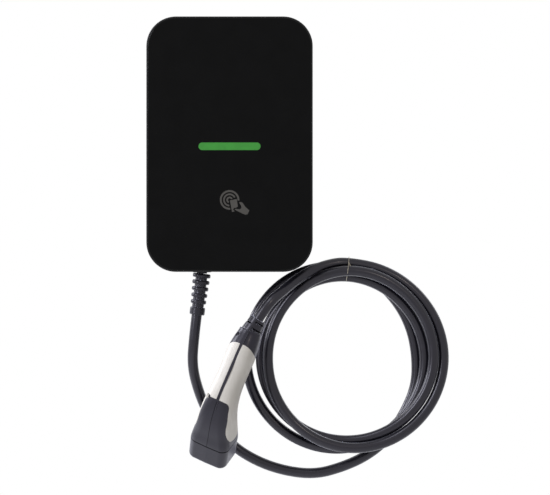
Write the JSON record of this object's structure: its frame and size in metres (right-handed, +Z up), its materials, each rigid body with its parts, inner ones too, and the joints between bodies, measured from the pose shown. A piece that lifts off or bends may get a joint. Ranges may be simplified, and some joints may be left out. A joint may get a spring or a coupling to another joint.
{
  "type": "wall charger for electric cars with coiled cable and plug",
  "caption": "Black rounded wall charger for electric cars with a green light bar, a ribbed cable gland, a coiled charging cable and a capped plug.",
  "frame": {"origin": "centre of the four wall bolts, on the wall plane", "axes": "+Z up, +X to the viewer's right, +Y into the wall; the front looks along -Y"},
  "size_m": [0.4226, 0.137, 0.6445],
  "materials": {
    "black_plastic": "satin",
    "panel_gloss": "gloss",
    "light_green": "satin",
    "steel": "satin",
    "painted_steel": "satin",
    "brass": "polished",
    "rubber": "matte",
    "cable_rubber": "satin",
    "board_green": "satin",
    "module_dark": "matte",
    "module_grey": "matte",
    "wire": "satin",
    "plug_dark": "matte",
    "plug_light": "satin"
  },
  "bodies": {
    "wallbox": {"wall_bracket": "steel", "rear_housing": "black_plastic", "front_cover": "black_plastic", "front_panel": "panel_gloss", "light_lens": "light_green", "cover_gasket": "rubber", "cover_screws": "steel", "lock_screw": "steel", "entry_grommet": "rubber", "main_board": "board_green", "board_screws": "steel", "contactor": "module_dark", "power_supply": "module_grey", "logic_module": "module_dark", "input_terminals": "module_grey", "output_terminals": "module_grey", "leakage_sensor": "module_dark", "light_board": "board_green", "card_reader": "board_green", "output_wires": "wire", "gland_body": "black_plastic", "gland_lock_nut": "black_plastic", "gland_seal": "rubber", "gland_dome_nut": "black_plastic", "gland_boot": "rubber", "cable_entry": "cable_rubber", "cable_lead": "cable_rubber", "cable_coil": "cable_rubber", "cable_tail": "cable_rubber", "coil_tie": "steel", "plug_boot": "rubber", "plug_cable_end": "cable_rubber", "plug_shell_left": "plug_dark", "plug_shell_right": "plug_dark", "plug_grip_left": "plug_light", "plug_grip_right": "plug_light", "contact_carrier": "plug_dark", "contact_sleeves": "brass", "carrier_seal": "rubber", "plug_screws": "steel"},
    "cap": {"plug_cap": "plug_dark"}
  },
  "joints": [
    {"name": "cap_pull", "type": "slide", "parent": "wallbox", "child": "cap", "axis": [-0.1078, 0.683, -0.7224], "range_m": [0, 0.04]}
  ]
}
